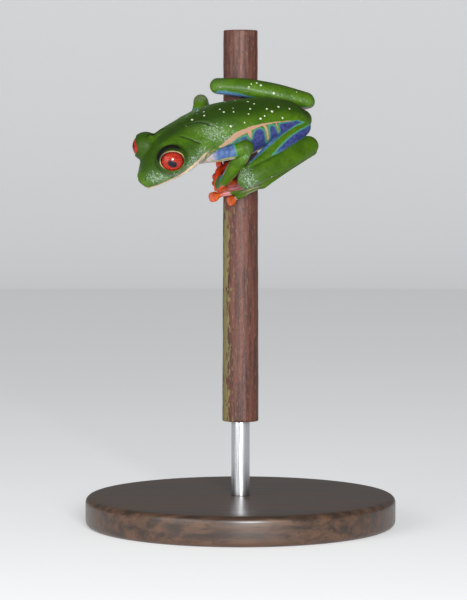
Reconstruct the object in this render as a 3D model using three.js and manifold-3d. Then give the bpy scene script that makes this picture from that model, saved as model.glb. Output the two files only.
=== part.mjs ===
// A life-size red-eyed tree frog that clings to a cut plant stem on a display stand.
// Millimetres, +Z up. The origin is the centre of the stand's underside, the stem stands on the Z axis,
// and -Y is the side from which the frog's back and left flank are seen.
import * as THREE from "three";
import { mergeVertices } from "three/addons/utils/BufferGeometryUtils.js";
import Module from "manifold-3d";

const wasm = await Module();
wasm.setup();

// ---- Driving dimensions ----
const GAP = 0.3; // left between pieces that touch
const BASE = { radius: 42, height: 8, chamfer: 1.2 };
const ROD = { radius: 2.5, height: 20 };
const STEM = { bottomRadius: 5.0, topRadius: 4.7, height: 105.5 };
const STEM_BOTTOM = BASE.height + ROD.height;
const EYE = { radius: 3.4, apart: 13.2, opening: 3.15 };
const LID = { radius: 4.0, setBack: 0.15 }; // the lid is a ball a little behind the eye's
const MOUTH_LEVEL = -5.3; // below the eyes' centres
const NECK = { forward: -7.5, up: -3.5 };
const FINGER = { base: 0.75, tip: 0.65, disc: 1.35, discThickness: 0.55 };
const TOE = { base: 0.8, tip: 0.65, disc: 1.4, discThickness: 0.55 };
const DIGIT_LIFT = 0.85; // how far the middle of a digit lies off the bark

const COLOURS = {
  green: [0x4f9a1c, 0.45],
  blue: [0x3c4fa8, 0.45],
  orange: [0xe8641e, 0.4],
  red: [0xd4261b, 0.1],
  stem: [0x8a4a45, 0.75],
  base: [0x2b2622, 0.5],
  rod: [0xb9bcc0, 0.35],
};

// ---- Directions and places ----
const vec = (p) => new THREE.Vector3(...p);
const ROUND = { body: 16, limb: 10, thin: 8, eye: 14, stem: 16, base: 26 }; // sides of each round form

// The head's own axes: right, forward and up, about the middle between the eyes.
const HEAD = { origin: vec([-21.3, -25.5, 100.4]), right: vec([-0.54, 0.79, 0.28]).normalize() };
HEAD.forward = vec([-0.425, -0.545, 0.718]).cross(HEAD.right).normalize();
HEAD.up = HEAD.right.clone().cross(HEAD.forward).normalize();
const PELVIS_UP = vec([0.12, -0.66, 0.74]).normalize();

// A point given as right, forward and up in the head's axes.
function inHead(right, forward, up) {
  return HEAD.origin
    .clone()
    .addScaledVector(HEAD.right, right)
    .addScaledVector(HEAD.forward, forward)
    .addScaledVector(HEAD.up, up);
}

function stemRadius(height) {
  return THREE.MathUtils.mapLinear(height - STEM_BOTTOM, 0, STEM.height, STEM.bottomRadius, STEM.topRadius);
}

// A point off the stem's bark, at an angle in degrees from the front (-Y) round towards -X.
function onStem(degrees, height, lift = DIGIT_LIFT) {
  const angle = THREE.MathUtils.degToRad(degrees);
  const radius = stemRadius(height) + lift;
  return [-radius * Math.sin(angle), -radius * Math.cos(angle), height];
}

// ---- Solids ----
function solidOf(geometry) {
  const bare = geometry.clone();
  bare.deleteAttribute("normal");
  bare.deleteAttribute("uv");
  const merged = mergeVertices(bare, 1e-4);
  return new wasm.Manifold(
    new wasm.Mesh({
      numProp: 3,
      vertProperties: new Float32Array(merged.attributes.position.array),
      triVerts: new Uint32Array(merged.index.array),
    }),
  );
}

function geometryOf(solid) {
  const mesh = solid.getMesh();
  const geometry = new THREE.BufferGeometry();
  geometry.setAttribute("position", new THREE.BufferAttribute(mesh.vertProperties, 3));
  geometry.setIndex(new THREE.BufferAttribute(mesh.triVerts, 1));
  geometry.computeVertexNormals();
  return geometry;
}

// Turns a form that points along +Y so that it points along a direction, and moves it to a centre.
function aim(geometry, direction, centre) {
  geometry.applyQuaternion(new THREE.Quaternion().setFromUnitVectors(vec([0, 1, 0]), direction));
  return solidOf(geometry.translate(centre.x, centre.y, centre.z));
}

function ball(centre, axis, radius) {
  return aim(new THREE.SphereGeometry(radius, ROUND.eye, Math.round(ROUND.eye * 0.6)), axis, centre);
}

// A block that fills everything on the side of a plane that its normal points to.
function halfSpace(point, normal) {
  const size = 120;
  return aim(new THREE.BoxGeometry(size, size, size).translate(0, size / 2, 0), normal, point);
}

// A smooth closed form with oval sections and rounded ends. Each station is { at, up, wide, over, under }:
// its centre, the direction of its back, half its width, and its height over and under the centre.
// square is the exponent of the oval, and caps scale the depth of the two ends.
function flesh(stations, { sides = ROUND.limb, steps = 2, grow = 0, square = 2, caps = [1, 1] } = {}) {
  const path = new THREE.CatmullRomCurve3(stations.map((s) => s.at), false, "centripetal");
  const spans = stations.length - 1;
  const depths = [0, 1].map((end) => {
    const s = stations[end * spans];
    return (caps[end] * (s.wide + s.over + s.under)) / 3 + grow;
  });

  function section(t) {
    const first = Math.min(Math.floor(t * spans), spans - 1);
    const share = t * spans - first;
    const [a, b] = [stations[first], stations[first + 1]];
    const ease = (share + THREE.MathUtils.smoothstep(share, 0, 1)) / 2;
    const size = (key) => THREE.MathUtils.lerp(a[key], b[key], ease) + grow;
    const [wide, over, under] = ["wide", "over", "under"].map(size);
    const tangent = path.getTangent(t);
    const across = tangent.clone().cross(a.up.clone().lerp(b.up, ease)).normalize();
    const up = across.clone().cross(tangent).normalize();
    return { centre: path.getPoint(t), tangent, across, up, wide, over, under };
  }

  function ring(t, scale, shift) {
    const s = section(t);
    const centre = s.centre.addScaledVector(s.tangent, shift);
    return Array.from({ length: sides }, (_, i) => {
      const angle = (2 * Math.PI * i) / sides;
      const [c, n] = [Math.cos(angle), Math.sin(angle)];
      const reach = scale * (Math.abs(c) ** square + Math.abs(n) ** square) ** (-1 / square);
      const high = n > 0 ? s.over : s.under;
      const offset = s.across.clone().multiplyScalar(c * s.wide).addScaledVector(s.up, n * high);
      return centre.clone().addScaledVector(offset, reach);
    });
  }

  function pole(t, shift) {
    const s = section(t);
    return s.centre.addScaledVector(s.tangent, shift);
  }

  const half = Math.SQRT1_2; // each end has one ring at 45 degrees, and its pole
  const rings = [ring(0, half, -half * depths[0])];
  for (let i = 0; i <= spans * steps; i++) rings.push(ring(i / (spans * steps), 1, 0));
  rings.push(ring(1, half, half * depths[1]));
  const points = [pole(0, -depths[0]), ...rings.flat(), pole(1, depths[1])];
  return solidOf(skinned(points, rings.length, sides));
}

// The closed surface through a first pole, rings of equal size and a last pole.
function skinned(points, rings, sides) {
  const at = (ring, side) => 1 + ring * sides + (side % sides);
  const last = points.length - 1;
  const faces = [];
  for (let i = 0; i < sides; i++) {
    faces.push(0, at(0, i), at(0, i + 1));
    faces.push(last, at(rings - 1, i + 1), at(rings - 1, i));
    for (let r = 0; r + 1 < rings; r++) {
      faces.push(at(r, i), at(r + 1, i), at(r, i + 1));
      faces.push(at(r, i + 1), at(r + 1, i), at(r + 1, i + 1));
    }
  }
  const geometry = new THREE.BufferGeometry();
  geometry.setAttribute("position", new THREE.Float32BufferAttribute(points.flatMap((p) => p.toArray()), 3));
  geometry.setIndex(faces);
  return geometry;
}

// ---- Trunk and head ----
// Trunk rows: x, y, z, half width, height over and under, and how far the back has turned to the head's.
const TRUNK = [
  [16.1, -8.8, 109.5, 2.9, 2.6, 3.0, 0.0],
  [13.0, -10.2, 109.9, 4.7, 4.2, 4.4, 0.0],
  [7.2, -12.2, 109.2, 6.8, 5.7, 5.6, 0.1],
  [-0.2, -14.7, 107.3, 8.3, 6.6, 7.0, 0.25],
  [-7.3, -17.6, 105.8, 8.6, 6.5, 7.3, 0.45],
  [-12.7, -20.2, 104.6, 7.9, 4.8, 6.4, 0.7],
  [-16.5, -22.6, 103.2, 7.2, 3.7, 6.0, 0.9],
].map(([x, y, z, wide, over, under, turn]) => {
  return { at: vec([x, y, z]), up: PELVIS_UP.clone().lerp(HEAD.up, turn), wide, over, under };
});

// Skull rows: how far forward of the eyes, half width, and the top and bottom above the eyes' centres.
const SKULL = [
  [-8.5, 7.2, 0.2, -7.3],
  [-5.0, 8.9, 1.1, -7.5],
  [0.0, 8.2, 1.4, -7.1],
  [4.0, 5.6, -0.4, -6.5],
  [6.2, 3.7, -1.5, -6.3],
  [7.3, 2.3, -2.3, -6.3],
].map(([forward, wide, top, bottom]) => {
  const half = (top - bottom) / 2;
  return { at: inHead(0, forward, (top + bottom) / 2), up: HEAD.up, wide, over: half, under: half };
});
const SNOUT_CAP = 0.4; // the snout ends bluntly

const SIDES = { left: -1, right: 1 };
const eyeCentre = (side) => inHead((side * EYE.apart) / 2, 0, 0);

function eyeAxis(side) {
  const out = HEAD.right.clone().multiplyScalar(side * 0.83);
  return out.addScaledVector(HEAD.forward, 0.42).addScaledVector(HEAD.up, 0.3).normalize();
}

function torso(grow) {
  const skull = flesh(SKULL, { sides: ROUND.body, grow, square: 2.2, caps: [1, SNOUT_CAP] });
  return flesh(TRUNK, { sides: ROUND.body, grow }).add(skull);
}

function withEyelids(solid) {
  let lidded = solid;
  for (const side of Object.values(SIDES)) {
    const axis = eyeAxis(side);
    const behind = eyeCentre(side).addScaledVector(axis, -LID.setBack);
    lidded = lidded.add(ball(behind, axis, LID.radius));
  }
  for (const side of Object.values(SIDES)) {
    const axis = eyeAxis(side);
    const depth = 2 * LID.radius;
    const hole = new THREE.CylinderGeometry(EYE.opening, EYE.opening, depth, ROUND.eye);
    lidded = lidded.subtract(aim(hole.translate(0, depth / 2, 0), axis, eyeCentre(side)));
    lidded = lidded.subtract(ball(eyeCentre(side), axis, EYE.radius + GAP));
  }
  return lidded;
}

// Cuts a solid in two with a gap: [the piece behind the plane, the piece in front of it].
function parted(solid, point, normal) {
  const back = halfSpace(point.clone().addScaledVector(normal, -GAP / 2), normal);
  const front = halfSpace(point.clone().addScaledVector(normal, GAP / 2), normal.clone().negate());
  return [solid.subtract(back), solid.subtract(front)];
}

function trunkHeadAndJaw() {
  const spine = vec([-0.87, -0.42, -0.22]).normalize();
  const across = HEAD.forward.clone().add(spine).normalize();
  const [trunk, front] = parted(withEyelids(torso(0)), inHead(0, NECK.forward, NECK.up), across);
  const [lowerJaw, head] = parted(front, inHead(0, 0, MOUTH_LEVEL), HEAD.up);
  return { trunk, head, lower_jaw: lowerJaw };
}

// ---- Limbs ----
const JOINTS = {
  left: {
    shoulder: [-11.0, -21.5, 100.6],
    elbow: [1.4, -23.6, 101.9],
    wrist: [-4.3, -17.2, 93.3],
    knuckles: [-5.9, -12.6, 92.5],
    hip: [15.6, -12.0, 107.6],
    knee: [1.9, -21.8, 94.7],
    shin: [1.4, -22.6, 93.3],
    heel: [18.2, -12.6, 102.8],
    hock: [18.5, -11.6, 101.6],
    ankle: [5.6, -7.5, 92.7],
    sole: [0.6, -6.7, 91.1],
  },
  right: {
    shoulder: [-13.0, -13.0, 105.8],
    elbow: [-10.6, -6.0, 114.2],
    wrist: [-7.2, -4.2, 103.3],
    knuckles: [-6.0, -4.0, 100.2],
    hip: [13.6, -7.0, 111.0],
    knee: [-4.6, -6.2, 118.5],
    shin: [-6.0, -9.3, 118.3],
    heel: [17.4, -6.4, 114.7],
    hock: [18.0, -5.6, 114.2],
    ankle: onStem(-103, 110.6, 2.2),
    sole: onStem(-133, 110.2, 1.1),
  },
};

// Each limb's joints, and its rows: share of its length, half its width and half its thickness.
const LIMBS = {
  upper_arm: ["shoulder", "elbow", [[0, 2.4], [0.33, 2.15], [0.67, 1.9], [1, 1.8]]],
  forearm: ["elbow", "wrist", [[0, 2.0, 1.8], [0.3, 2.3, 1.9], [0.65, 1.9, 1.6], [1, 1.4, 1.1]]],
  hand: ["wrist", "knuckles", [[0.2, 1.6, 1.0], [0.6, 2.1, 0.9], [1, 2.1, 0.8]]],
  thigh: ["hip", "knee", [[0, 3.0, 2.8], [0.33, 2.65, 2.5], [0.67, 2.6, 2.3], [1, 2.4, 2.0]]],
  shank: ["shin", "heel", [[0, 2.4, 2.1], [0.28, 2.85, 2.4], [0.65, 3.3, 2.2], [1, 2.6, 2.0]]],
  tarsus: ["hock", "ankle", [[0, 1.9, 1.7], [0.3, 1.7, 1.4], [0.7, 1.6, 1.3], [1, 1.7, 1.2]]],
  foot: ["ankle", "sole", [[0.1, 1.4, 1.1], [0.6, 1.7, 0.9], [1, 2.0, 0.8]]],
};

// The direction in which each limb's back faces.
const LEG_BACK = { left: [0.15, -0.75, 0.64], right: [0, -0.4, 0.92] };
const BACKS = {
  upper_arm: LEG_BACK,
  forearm: { left: [-0.6, -0.75, 0.2], right: [-0.8, -0.55, 0.1] },
  hand: { left: [-1, 0, 0.1], right: [-0.8, -0.6, 0] },
  thigh: LEG_BACK,
  shank: LEG_BACK,
  tarsus: { left: [0.3, -0.9, 0.3], right: [0.4, 0.4, 0.8] },
  foot: { left: [0, -1, 0], right: [1, 0.8, 0] },
};

// How far the middle of a limb bows off the straight line between its joints.
const BOWS = {
  upper_arm_left: [0, -0.8, -1.0],
  forearm_left: [0.3, -0.5, 0],
  thigh_left: [0.5, -0.6, 0.3],
  shank_left: [0, -1.3, 0.2],
  upper_arm_right: [0.4, 0.3, 0.3],
  thigh_right: [0, 0.3, 2.0],
  shank_right: [0, -0.4, 0.8],
};

function limbStations(name, side) {
  const [from, to, rows] = LIMBS[name];
  const [start, end] = [from, to].map((joint) => vec(JOINTS[side][joint]));
  const bow = vec(BOWS[`${name}_${side}`] ?? [0, 0, 0]);
  const up = vec(BACKS[name][side]);
  return rows.map(([share, wide, thick = wide]) => {
    const at = start.clone().lerp(end, share).addScaledVector(bow, Math.sin(Math.PI * share));
    return { at, up, wide, over: thick, under: thick };
  });
}

// ---- Digits ----
// The joints of each digit, from the palm or sole to the middle of its disc, inner digit first.
const DIGITS = {
  finger_left: [
    [[-6.0, -12.2, 94.0], [-6.0, -8.6, 95.9], onStem(42, 97.3)],
    [[-6.3, -12.0, 93.0], [-6.9, -8.0, 94.4], onStem(75, 95.4)],
    [[-6.4, -11.8, 92.1], [-7.0, -7.4, 92.6], onStem(104, 93.2)],
    [[-6.2, -12.0, 91.1], [-6.4, -7.4, 91.0], onStem(80, 90.6)],
  ],
  finger_right: [
    [[-5.2, -4.8, 100.6], onStem(28, 101.4, 1), onStem(5, 102.2)],
    [[-5.8, -4.4, 99.4], [-5.9, -3.6, 97.6]],
    [[-6.3, -3.2, 99.4], onStem(88, 98.0, 1), onStem(120, 97.0), onStem(150, 96.4)],
    [[-6.5, -2.8, 100.8], onStem(92, 101.2, 1), onStem(125, 101.8)],
  ],
  toe_left: [
    [[1.0, -7.0, 91.9], [-0.6, -6.5, 92.0]],
    [[0.2, -6.9, 91.8], [-2.4, -6.3, 92.2]],
    [[-0.2, -6.7, 91.4], [-3.0, -6.3, 91.0], [-5.0, -5.9, 90.8]],
    [[-0.2, -6.7, 90.5], [-4.0, -6.9, 89.8], [-7.3, -6.2, 88.9]],
    [[0.8, -6.7, 89.7], [-1.2, -6.1, 88.7], onStem(28, 87.9)],
  ],
  toe_right: [
    [onStem(-140, 112.6), onStem(-160, 113.9)],
    [onStem(-146, 111.6), onStem(-172, 112.3), onStem(-195, 112.6)],
    [onStem(-148, 110.6), onStem(-180, 110.5), onStem(-210, 110.3)],
    [onStem(-146, 109.6), onStem(-180, 108.7), onStem(-215, 107.8), onStem(-235, 107.3)],
    [onStem(-138, 108.6), onStem(-154, 106.9), onStem(-168, 105.2)],
  ],
};

// A thin tapering limb that widens at its tip into a flat round disc. Its back faces away from the stem.
function digitStations(points, size) {
  const places = points.map(vec);
  const last = places.length - 1;
  const away = (at) => vec([at.x, at.y, 0]).normalize();
  const stations = places.slice(0, last).map((at, i) => {
    const radius = THREE.MathUtils.lerp(size.base, size.tip, i / last);
    return { at, up: away(at), wide: radius, over: radius, under: radius };
  });
  const reach = places[last].clone().sub(places[last - 1]).normalize();
  const rows = [
    [-1.2, size.tip, size.tip],
    [-0.45, size.disc, size.discThickness],
    [0.4, size.disc, size.discThickness],
  ];
  for (const [share, wide, thick] of rows) {
    const at = places[last].clone().addScaledVector(reach, share * size.disc);
    stations.push({ at, up: away(places[last]), wide, over: thick, under: thick });
  }
  return stations;
}

// ---- Stem and stand ----
function turned(profile, sides) {
  const points = profile.map((p) => new THREE.Vector2(...p));
  return solidOf(new THREE.LatheGeometry(points, sides).rotateX(Math.PI / 2));
}

function perchStem(grow) {
  const [low, high] = [STEM_BOTTOM + GAP, STEM_BOTTOM + STEM.height];
  const profile = [[0, low], [STEM.bottomRadius + grow, low], [STEM.topRadius + grow, high], [0, high]];
  return turned(profile, ROUND.stem);
}

function standBase() {
  const { radius, height, chamfer } = BASE;
  const profile = [[0, 0], [radius, 0], [radius, height - chamfer], [radius - chamfer, height], [0, height]];
  return turned(profile, ROUND.base);
}

function standRod() {
  const [low, high] = [BASE.height + GAP, STEM_BOTTOM];
  return turned([[0, low], [ROD.radius, low], [ROD.radius, high], [0, high]], ROUND.stem);
}

// ---- The group ----
const group = new THREE.Group();

function add(name, solid, colour) {
  const [color, roughness] = COLOURS[colour];
  const material = new THREE.MeshStandardMaterial({ color, roughness, metalness: colour === "rod" ? 1 : 0 });
  const mesh = new THREE.Mesh(geometryOf(solid), material);
  mesh.name = name;
  group.add(mesh);
}

// Adds a piece of flesh, cut clear of all that was placed before it, without the slivers that a cut leaves.
const placed = [perchStem(GAP), torso(GAP)];

function place(name, form, colour) {
  let solid = form(0);
  const box = solid.boundingBox();
  for (const other of placed) {
    const theirs = other.boundingBox();
    const near = [0, 1, 2].every((i) => box.min[i] < theirs.max[i] && theirs.min[i] < box.max[i]);
    if (near) solid = solid.subtract(other);
  }
  const pieces = solid.decompose().sort((a, b) => b.volume() - a.volume());
  add(name, pieces[0], colour);
  placed.push(form(GAP));
}

add("stand_base", standBase(), "base");
add("stand_rod", standRod(), "rod");
add("perch_stem", perchStem(0), "stem");
for (const [name, solid] of Object.entries(trunkHeadAndJaw())) add(name, solid, "green");
for (const [name, side] of Object.entries(SIDES)) {
  add(`eye_${name}`, ball(eyeCentre(side), eyeAxis(side), EYE.radius), "red");
}
for (const side of Object.keys(SIDES)) {
  for (const name of Object.keys(LIMBS)) {
    const stations = limbStations(name, side);
    const sides = stations[0].wide > 2 ? ROUND.limb : ROUND.thin;
    const colour = { upper_arm: "blue", thigh: "blue", hand: "orange", foot: "orange" }[name] ?? "green";
    place(`${name}_${side}`, (grow) => flesh(stations, { sides, grow }), colour);
  }
}
for (const [name, digits] of Object.entries(DIGITS)) {
  const size = name.startsWith("toe") ? TOE : FINGER;
  digits.forEach((points, i) => {
    const stations = digitStations(points, size);
    const form = (grow) => flesh(stations, { sides: ROUND.thin, steps: 1, grow, caps: [1, 0.7] });
    place(`${name}_${i + 1}`, form, "orange");
  });
}

export default group;
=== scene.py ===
import math

import bpy
import numpy as np
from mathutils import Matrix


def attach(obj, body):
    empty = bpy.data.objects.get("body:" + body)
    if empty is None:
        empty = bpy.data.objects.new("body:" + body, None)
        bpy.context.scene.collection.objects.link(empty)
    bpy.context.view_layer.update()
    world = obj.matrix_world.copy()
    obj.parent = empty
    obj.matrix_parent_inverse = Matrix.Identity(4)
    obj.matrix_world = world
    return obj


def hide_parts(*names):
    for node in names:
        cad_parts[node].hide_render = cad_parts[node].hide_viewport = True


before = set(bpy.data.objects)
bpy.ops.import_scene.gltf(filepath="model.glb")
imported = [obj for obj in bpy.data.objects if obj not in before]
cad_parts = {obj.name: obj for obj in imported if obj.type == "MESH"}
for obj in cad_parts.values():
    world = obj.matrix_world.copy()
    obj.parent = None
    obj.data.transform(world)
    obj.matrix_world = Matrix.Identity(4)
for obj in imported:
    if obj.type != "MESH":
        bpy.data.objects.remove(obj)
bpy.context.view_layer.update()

import openvdb as vdb
from mathutils import Vector
from numpy.linalg import norm

# Lengths are millimetres in the frame of the CAD part, and become metres when a mesh is made. Only the
# lamps are placed in metres.
MM = 0.001
BODY = "root"


# ---- small helpers

def add_object(name, data):
    thing = bpy.data.objects.new(name, data)
    bpy.context.scene.collection.objects.link(thing)
    return thing


def mesh_object(name, points, faces):
    """A smooth mesh from points in millimetres and faces of three or four corners."""
    mesh = bpy.data.meshes.new(name)
    mesh.vertices.add(len(points))
    mesh.vertices.foreach_set("co", (points * MM).astype(np.float32).ravel())
    mesh.loops.add(faces.size)
    mesh.loops.foreach_set("vertex_index", faces.astype(np.int32).ravel())
    mesh.polygons.add(len(faces))
    mesh.polygons.foreach_set("loop_start", np.arange(0, faces.size, faces.shape[1], dtype=np.int32))
    mesh.update(calc_edges=True)
    mesh.shade_smooth()
    return add_object(name, mesh)


def finish_piece(thing, look, slot, *nodes, fields={}):
    """Gives a piece its painted fields and material, and says which nodes of the frame it replaces."""
    for name, values in fields.items():
        attribute = thing.data.attributes.new(name, "FLOAT", "POINT")
        attribute.data.foreach_set("value", values.astype(np.float32))
    thing.data.materials.append(look)
    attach(thing, BODY)
    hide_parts(*nodes)


def unit(v):
    v = np.asarray(v, float)
    return v / norm(v, axis=-1, keepdims=True)


def smoothstep(x, low, high):
    s = np.clip((x - low) / (high - low), 0, 1)
    return s * s * (3 - 2 * s)


def bell(distance, width):
    return np.exp(-((distance / width) ** 2))


def trilinear(table, cell, share):
    """Values between the corners of a table's cells, at shares of their sides. The table repeats."""
    total = np.zeros(len(cell))
    for corner in np.ndindex(2, 2, 2):
        at = (cell + corner) % table.shape
        weight = np.prod(np.where(np.array(corner), share, 1 - share), axis=1)
        total += weight * table[at[:, 0], at[:, 1], at[:, 2]]
    return total


def lattice_noise(places, lump, seed):
    """Smooth noise from -1 to 1 with lumps of about that size, the same on each run."""
    table = np.random.default_rng(seed).uniform(-1, 1, (32, 32, 32))
    cell = np.floor(places / lump).astype(int)
    return trilinear(table, cell, smoothstep(places / lump - cell, 0, 1))


# ---- the camera

PHOTO_HEIGHT = 600
FOCAL_PIXELS = 2405
SENSOR = 36
CAMERA = {"x": -1.9, "height": 61, "distance": 650, "down": math.radians(3)}


def make_camera():
    camera = add_object("camera", bpy.data.cameras.new("camera"))
    camera.data.sensor_width = SENSOR
    camera.data.lens = FOCAL_PIXELS / PHOTO_HEIGHT * SENSOR
    camera.data.clip_start = 0.01
    back = CAMERA["distance"] * math.cos(CAMERA["down"])
    rise = CAMERA["distance"] * math.sin(CAMERA["down"])
    camera.location = Vector((CAMERA["x"], -back, CAMERA["height"] + rise)) * MM
    camera.rotation_euler = (math.pi / 2 - CAMERA["down"], 0, 0)
    bpy.context.scene.camera = camera


make_camera()


# ---- the stem and the digits' places on it

STEM = {"bottom_radius": 5.0, "top_radius": 4.7, "bottom": 28.3, "top": 133.5, "rings": 230, "sides": 144}
STEM_FOOT = 28
STEM_GAP = 0.03
DIGIT_LIFT = 0.85


def stem_radius(height):
    share = (height - STEM_FOOT) / (STEM["top"] - STEM_FOOT)
    return STEM["bottom_radius"] + (STEM["top_radius"] - STEM["bottom_radius"]) * share


def on_stem(degrees, height, lift=DIGIT_LIFT):
    """A place off the bark, at an angle from the front (-Y) round towards -X."""
    angle = math.radians(degrees)
    radius = stem_radius(height) + lift
    return (-radius * math.sin(angle), -radius * math.cos(angle), height)


# ---- lofted forms

# A form's row: x, y, z, the direction of its back, half the width, and the height over and under x, y, z.


def spline(rows, t):
    """Rows of numbers at shares t of a centripetal Catmull-Rom curve through the rows' places."""
    rows = np.asarray(rows, float)
    spans = len(rows) - 1
    padded = np.vstack([2 * rows[0] - rows[1], rows, 2 * rows[-1] - rows[-2]])
    first = np.minimum((t * spans).astype(int), spans - 1)
    s = (t * spans - first)[:, None]
    p = [padded[first + k] for k in range(4)]
    gap = [np.sqrt(norm((p[k + 1] - p[k])[:, :3], axis=1))[:, None] for k in range(3)]
    span = p[2] - p[1]
    start = ((p[1] - p[0]) / gap[0] - (p[2] - p[0]) / (gap[0] + gap[1])) * gap[1] + span
    end = ((p[3] - p[2]) / gap[2] - (p[3] - p[1]) / (gap[1] + gap[2])) * gap[1] + span
    return p[1] + s * start + s**2 * (3 * span - 2 * start - end) + s**3 * (start + end - 2 * span)


def sections(rows, t):
    """The middle, tangent, across, up and the three sizes of a form at shares t."""
    row = spline(rows, t)
    before, after = (spline(rows, np.clip(t + step, 0, 1))[:, :3] for step in (-1e-4, 1e-4))
    tangent = unit(after - before)
    across = unit(np.cross(tangent, row[:, 3:6]))
    up = np.cross(across, tangent)
    return row[:, :3], tangent, across, up, row[:, 6:9]


def loft(rows, sides=64, step=0.35, square=2.0, caps=(1, 1)):
    """The closed surface of a form, as points and triangles, with rounded ends."""
    rows = np.asarray(rows, float)
    length = norm(np.diff(rows[:, :3], axis=0), axis=1).sum()
    tilt = np.linspace(math.pi / 2, 0, 9)[1:-1]
    main = np.linspace(0, 1, max(10, int(length / step)))
    t = np.concatenate([0 * tilt, main, 0 * tilt + 1])
    lean = np.concatenate([-tilt, 0 * main, tilt[::-1]])
    depth = [cap * row[6:9].mean() for cap, row in zip(caps, rows[[0, -1]])]
    middle, tangent, across, up, sizes = sections(rows, t)
    poles = [middle[0] - tangent[0] * depth[0], middle[-1] + tangent[-1] * depth[1]]
    middle = middle + tangent * (np.sin(lean) * np.where(lean < 0, *depth))[:, None]
    angle = np.arange(sides) * 2 * math.pi / sides
    reach = (abs(np.cos(angle)) ** square + abs(np.sin(angle)) ** square) ** (-1 / square)
    wide = sizes[:, :1] * np.cos(angle) * reach
    high = np.where(np.sin(angle) > 0, sizes[:, 1:2], sizes[:, 2:3]) * np.sin(angle) * reach
    rings = middle[:, None] + np.cos(lean)[:, None, None] * (
        wide[..., None] * across[:, None] + high[..., None] * up[:, None]
    )
    points = np.vstack([poles[0], rings.reshape(-1, 3), poles[1]])
    return points, tube_triangles(len(t), sides)


def tube_triangles(rings, sides):
    """Triangles of a tube closed by a first and a last point."""
    i, j = 1 + np.arange(sides), 1 + (np.arange(sides) + 1) % sides
    ring = np.arange(rings - 1)[:, None] * sides
    a, b = ring + i, ring + j
    walls = np.stack([a, a + sides, b, b, a + sides, b + sides], -1).reshape(-1, 3)
    last, shift = 1 + rings * sides, (rings - 1) * sides
    first_cap = np.stack([0 * i, i, j], -1)
    last_cap = np.stack([0 * i + last, j + shift, i + shift], -1)
    return np.vstack([walls, first_cap, last_cap])


# ---- the frog's measurements

SIDES = {"left": -1, "right": 1}
HEAD_MIDDLE = np.array([-21.3, -25.5, 100.4])  # between the eyes
HEAD_RIGHT = unit([-0.54, 0.79, 0.28])
HEAD_FORWARD = unit(np.cross([-0.425, -0.545, 0.718], HEAD_RIGHT))
HEAD_UP = unit(np.cross(HEAD_RIGHT, HEAD_FORWARD))
HEAD_AXES = np.array([HEAD_RIGHT, HEAD_FORWARD, HEAD_UP])
PELVIS_UP = unit([0.12, -0.66, 0.74])
EYE = {"radius": 3.4, "apart": 13.2, "rings": 112, "sides": 160}
LID = {"left": 3.98, "right": 3.8, "set_back": 0.12, "blend": 0.9, "painted": 6.4}


def in_head(right, forward, up):
    return HEAD_MIDDLE + np.array([right, forward, up]) @ HEAD_AXES


def eye_middle(side):
    return in_head(side * EYE["apart"] / 2, 0, 0)


def eye_axis(side):
    return unit(np.array([side * 0.83, 0.42, 0.3]) @ HEAD_AXES)


# x, y, z, half width, height over and under, and how far the back has turned to the head's.
TRUNK = [
    [x, y, z, *(PELVIS_UP * (1 - turn) + HEAD_UP * turn), wide, over, under]
    for x, y, z, wide, over, under, turn in [
        [16.1, -8.8, 109.5, 2.9, 2.6, 3.0, 0.0],
        [13.0, -10.2, 109.9, 4.7, 4.2, 4.4, 0.0],
        [7.2, -12.2, 109.2, 6.8, 5.7, 5.6, 0.1],
        [-0.2, -14.7, 107.3, 8.3, 6.6, 7.0, 0.25],
        [-7.3, -17.6, 105.8, 8.6, 6.5, 7.3, 0.45],
        [-12.7, -20.2, 104.6, 7.9, 4.8, 6.4, 0.7],
        [-16.5, -22.6, 103.2, 7.2, 3.7, 6.0, 0.9],
    ]
]
# How far forward of the eyes, half width, and the top and bottom above the eyes' middles.
SKULL = [
    [*in_head(0, forward, (top + bottom) / 2), *HEAD_UP, wide, (top - bottom) / 2, (top - bottom) / 2]
    for forward, wide, top, bottom in [
        [-8.5, 7.2, 0.2, -7.3],
        [-5.0, 8.9, 1.1, -7.5],
        [0.0, 8.2, 1.4, -7.1],
        [4.0, 5.6, -0.4, -6.5],
        [6.2, 3.7, -1.5, -6.3],
        [7.3, 2.3, -2.3, -6.3],
    ]
]
# Each joint's place on the left side and on the right.
JOINTS = {
    "shoulder": [(-11.0, -21.5, 100.6), (-13.0, -13.0, 105.8)],
    "elbow": [(1.4, -23.6, 101.9), (-10.6, -6.0, 114.2)],
    "wrist": [(-4.3, -17.2, 93.3), (-7.2, -4.2, 103.3)],
    "knuckles": [(-5.9, -12.6, 92.5), (-6.0, -4.0, 100.2)],
    "hip": [(15.6, -12.0, 107.6), (13.6, -7.0, 111.0)],
    "knee": [(1.9, -21.8, 94.7), (-4.6, -6.2, 118.5)],
    "shin": [(1.4, -22.6, 93.3), (-6.0, -9.3, 118.3)],
    "heel": [(18.2, -12.6, 102.8), (17.4, -6.4, 114.7)],
    "hock": [(18.5, -11.6, 101.6), (18.0, -5.6, 114.2)],
    "ankle": [(5.6, -7.5, 92.7), on_stem(-103, 110.6, 2.2)],
    "sole": [(0.6, -6.7, 91.1), on_stem(-133, 110.2, 1.1)],
}
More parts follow.
